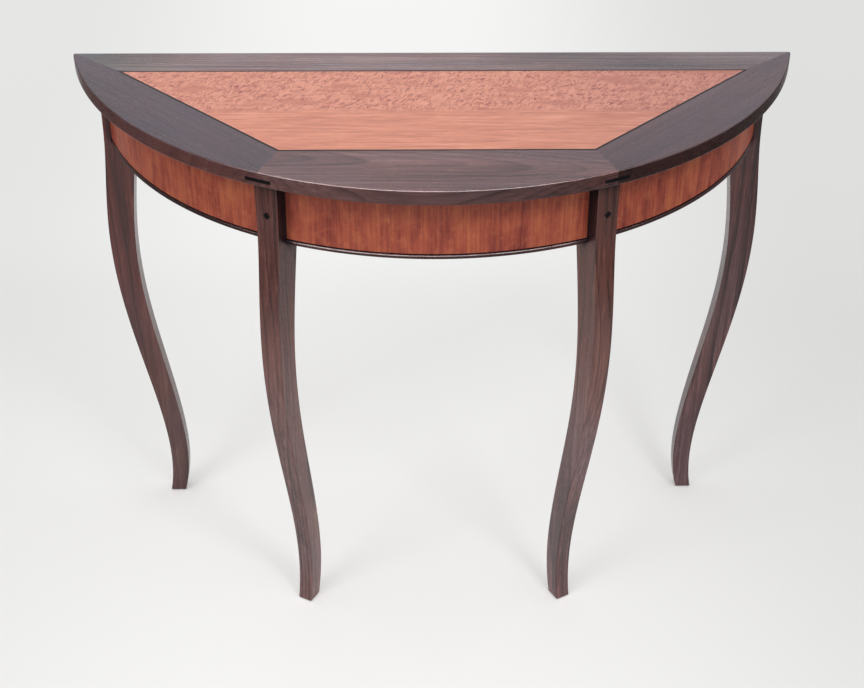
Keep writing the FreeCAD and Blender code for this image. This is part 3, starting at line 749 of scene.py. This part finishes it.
class DEMILUNE_OT_panel(bpy.types.Operator):
    """Finish the panel's veneers and its core"""

    bl_idname = "demilune.panel"
    bl_label = "Panel"

    def execute(self, context):
        veneer = figured_veneer("figured_veneer", settings().panel)
        dress("panel_face_veneer", veneer)
        dress("panel_backing_veneer", veneer)
        dress("panel_core", inner_wood("panel_core_wood", settings().trim.inner_wood, board_grain))
        return {"FINISHED"}


class DEMILUNE_OT_ebony_trim(bpy.types.Operator):
    """Finish the line round the panel, the splines and the diamond plugs"""

    bl_idname = "demilune.ebony_trim"
    bl_label = "Ebony Trim"

    def execute(self, context):
        black = ebony("ebony", settings().trim.ebony)
        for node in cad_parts:
            if node.startswith(("line_inlay_", "mitre_spline_", "plug_")):
                dress(node, black)
            if node.startswith("plug_"):
                ease_edges(node, PLUG_EASE)
        return {"FINISHED"}


class DEMILUNE_OT_legs(bpy.types.Operator):
    """Finish the four swept legs"""

    bl_idname = "demilune.legs"
    bl_label = "Legs"

    def execute(self, context):
        looks = settings().walnut
        right = math.pi / 2
        # Each leg's turn, tint of the head, tint of the foot and strength of figure. The foot's tint is a
        # painted light and sheen, paler and greyer towards the floor.
        legs = {
            "leg_front_left": (-right - looks.leg_turn, (1.34, 1.10, 1.02), (2.10, 2.60, 2.80), 1.1),
            "leg_front_right": (looks.leg_turn - right, (1.34, 1.12, 0.97), (2.15, 2.55, 3.10), 1.1),
            "leg_back_left": (math.pi, (1.56, 1.00, 0.98), (1.14, 1.34, 1.42), 1.0),
            "leg_back_right": (0.0, (0.88, 0.74, 0.84), (1.16, 1.34, 1.65), 1.7),
        }
        knee, ankle = 0.80 * cad_high.z, 0.10 * cad_high.z
        apron_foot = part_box("apron_bead_front")[0].z
        for seed, (node, (turn, head, foot, figure)) in enumerate(legs.items(), 11):
            spot = Matrix.Rotation(-turn, 3, "Z") @ middle(node)
            pith = (spot.y + LEG_PITH[0], spot.x + LEG_PITH[1])
            # The front legs' cheeks beside the apron take painted shade above the bead's foot.
            cheek = None
            if "front" in node:
                cheek = ((-math.sin(turn), math.cos(turn), 0.0), apron_foot)
            grain = partial(upright_grain, turn=turn)
            # From knee to ankle the leg takes on the foot's tint, a painted light and sheen.
            dress(node, walnut("walnut_" + node, looks, grain, pith, tilt=0.03, seed=seed, tint=head,
                               figure=figure, fades=((knee, ankle, foot),), cheek=cheek))
        return {"FINISHED"}


class DEMILUNE_OT_apron(bpy.types.Operator):
    """Finish the apron's veneer, cores and beads"""

    bl_idname = "demilune.apron"
    bl_label = "Apron"

    def execute(self, context):
        veneer = apron_veneer("apron_veneer", settings().apron)
        core = inner_wood("apron_core_wood", settings().trim.inner_wood, arc_grain)
        low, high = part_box("apron_bead_front")
        pith = ((low.z + high.z) / 2 + BEAD_PITH[0], ARC_Y - low.y + BEAD_PITH[1])
        # The bead's darker tint, strongest on its upright and lower faces, is painted shade.
        bead = walnut("walnut_bead", settings().walnut, arc_grain, pith, tilt=0.01, seed=21,
                      tint=(0.55, 0.48, 0.50), edge=(0.50, 0.42, 0.46))
        for side in ("front", "left", "right"):
            dress("apron_veneer_" + side, veneer)
            dress("apron_core_" + side, core)
            dress("apron_bead_" + side, bead)
        return {"FINISHED"}


class DEMILUNE_OT_inner_pieces(bpy.types.Operator):
    """Finish the walnut rail and the plain blocks, buttons, tenons and keys"""

    bl_idname = "demilune.inner_pieces"
    bl_label = "Inner Pieces"

    def execute(self, context):
        colour = settings().trim.inner_wood
        level = inner_wood("inner_wood_level", colour, board_grain)
        upright = inner_wood("inner_wood_upright", colour, upright_grain)
        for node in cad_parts:
            if node.startswith(("button_front", "button_side", "button_rail", "tenon_", "mitre_key_")):
                dress(node, level)
            if node.startswith("glue_block_"):
                dress(node, upright)
        spot = middle("back_rail")
        pith = (spot.y + RAIL_PITH[0], spot.z + RAIL_PITH[1])
        rail = walnut("walnut_back_rail", settings().walnut, board_grain, pith, tilt=0.02, seed=31)
        dress("back_rail", rail)
        return {"FINISHED"}


class DEMILUNE_OT_hardware(bpy.types.Operator):
    """Finish the screws and the glides"""

    bl_idname = "demilune.hardware"
    bl_label = "Screws and Glides"

    def execute(self, context):
        dress("button_screws", steel("screw_steel", settings().trim.steel))
        black = plastic("glide_plastic", settings().trim.plastic)
        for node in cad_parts:
            if node.startswith("glide_"):
                dress(node, black)
        return {"FINISHED"}


class DEMILUNE_OT_stage(bpy.types.Operator):
    """Set the floor, the white room, two softboxes and the camera"""

    bl_idname = "demilune.stage"
    bl_label = "Stage"

    def execute(self, context):
        studio = settings().studio
        scene = context.scene
        scene.view_settings.view_transform = "Standard"
        self.lay_floor(scene, studio)
        self.light_room(scene, studio)
        self.hang_lamp(scene, "softbox_right", studio.right_lamp, studio.right_power, studio.right_side)
        self.hang_lamp(scene, "softbox_left", studio.left_lamp, studio.left_power, studio.left_side)
        self.stand_camera(scene, studio)
        return {"FINISHED"}

    def lay_floor(self, scene, studio):
        low, high = -FLOOR_REACH, FLOOR_REACH
        mesh = bpy.data.meshes.new("floor")
        mesh.from_pydata([(low, low, 0), (high, low, 0), (high, high, 0), (low, high, 0)], [], [(0, 1, 2, 3)])
        floor = bpy.data.objects.new("floor", mesh)
        scene.collection.objects.link(floor)
        material, graph = new_material("pale_floor")
        place = graph.here()
        away = graph.length(place)
        x = graph.parts(place)[0]
        seen = graph.seen()
        # A gloss sees the dim room past the paper's sides.
        past = graph.span(graph.math("ABSOLUTE", x), studio.paper - PAPER_BLUR, studio.paper + PAPER_BLUR)
        beside = graph.math("MULTIPLY", past, graph.rays()["Is Glossy Ray"])
        dim = times(studio.pale, 0.15)
        # The paper's colour carries a painted pool of light: brightest under the table, falling off to both
        # sides, and far away one level.
        pool = graph.math("MULTIPLY", graph.span(x, *POOL_RIGHT), graph.span(x, *POOL_LEFT))
        beyond = graph.span(away, FAR_START, FAR_FULL)
        pool = graph.math("MULTIPLY_ADD", beyond, graph.math("SUBTRACT", FAR_LEVEL, pool), pool)
        tone = graph.dim(graph.blend(seen, times(studio.floor, 0.5), studio.floor), pool)
        pale = graph.dim(tuple(studio.pale), pool)
        near = graph.add("BsdfDiffuse", {"Color": graph.blend(beside, tone, dim)})
        glow = graph.add("Emission", {"Color": graph.blend(beside, pale, dim), "Strength": 1.0})
        # Paper that takes shadows turns into a plain glow with the distance.
        share = graph.math("MULTIPLY", graph.span(away, *GLOW), seen)
        shader = graph.add("MixShader", (share, near, glow))
        graph.add("OutputMaterial", {"Surface": shader})
        mesh.materials.append(material)

    def light_room(self, scene, studio):
        world = bpy.data.worlds.new("white_room")
        scene.world = world
        world.use_nodes = True
        graph = Graph(world.node_tree)
        toward = graph.add("TexCoord", out="Generated")
        up = graph.math("MAXIMUM", graph.parts(toward)[2], 0.0)
        ceiling = graph.math("MULTIPLY_ADD", up, studio.room_light, WALL_LIGHT)
        wall = WALL
        for aim, start, full, colour in BRIGHT_FIELDS:
            wall = graph.blend(graph.span(graph.dot(toward, aim), start, full), wall, colour)
        shown = graph.blend(graph.rays()["Is Camera Ray"], wall, studio.pale)
        light = graph.add("Background", {"Color": (1.0, 1.0, 1.0, 1.0), "Strength": ceiling})
        view = graph.add("Background", {"Color": shown, "Strength": 1.0})
        room = graph.add("MixShader", (graph.seen(), light, view))
        graph.add("OutputWorld", {"Surface": room})

    def hang_lamp(self, scene, name, place, power, side):
        lamp = bpy.data.lights.new(name, "AREA")
        lamp.shape = "SQUARE"
        lamp.size = side
        lamp.energy = power
        box = bpy.data.objects.new(name, lamp)
        scene.collection.objects.link(box)
        box.location = place
        aim = Vector((0.0, 0.0, cad_high.z / 2))
        box.rotation_euler = (aim - Vector(place)).to_track_quat("-Z", "Y").to_euler()
        box.visible_camera = False

    def stand_camera(self, scene, studio):
        lens = bpy.data.cameras.new("camera")
        lens.lens = studio.lens
        camera = bpy.data.objects.new("camera", lens)
        scene.collection.objects.link(camera)
        turn = (Matrix.Rotation(studio.camera_yaw, 3, "Z")
                @ Matrix.Rotation(math.pi / 2 - studio.camera_pitch, 3, "X")
                @ Matrix.Rotation(studio.camera_roll, 3, "Z"))
        camera.location = studio.camera_place
        camera.rotation_euler = turn.to_euler()
        scene.camera = camera


class DEMILUNE_PT_sidebar(bpy.types.Panel):
    """Lists the table's pieces and their settings"""

    bl_label = "Demilune Table"
    bl_idname = "DEMILUNE_PT_sidebar"
    bl_space_type = "VIEW_3D"
    bl_region_type = "UI"
    bl_category = "Demilune"

    def draw(self, context):
        for operator in OPERATORS:
            self.layout.operator(operator.bl_idname)
        table = context.scene.demilune_table
        for group in (table.walnut, table.panel, table.apron, table.trim, table.studio):
            box = self.layout.box()
            for name in group.bl_rna.properties.keys():
                if name not in ("rna_type", "name"):
                    box.prop(group, name)


OPERATORS = (
    DEMILUNE_OT_border_boards, DEMILUNE_OT_panel, DEMILUNE_OT_ebony_trim, DEMILUNE_OT_legs,
    DEMILUNE_OT_apron, DEMILUNE_OT_inner_pieces, DEMILUNE_OT_hardware, DEMILUNE_OT_stage,
)
GROUPS = (WalnutSettings, PanelSettings, ApronSettings, TrimSettings, StudioSettings, TableSettings)


def register():
    for item in (*GROUPS, *OPERATORS, DEMILUNE_PT_sidebar):
        bpy.utils.register_class(item)
    bpy.types.Scene.demilune_table = PointerProperty(type=TableSettings)


def unregister():
    del bpy.types.Scene.demilune_table
    for item in reversed((*GROUPS, *OPERATORS, DEMILUNE_PT_sidebar)):
        bpy.utils.unregister_class(item)


def main():
    register()
    bpy.ops.demilune.border_boards()
    bpy.ops.demilune.panel()
    bpy.ops.demilune.ebony_trim()
    bpy.ops.demilune.legs()
    bpy.ops.demilune.apron()
    bpy.ops.demilune.inner_pieces()
    bpy.ops.demilune.hardware()
    bpy.ops.demilune.stage()


if __name__ == "__main__":
    main()
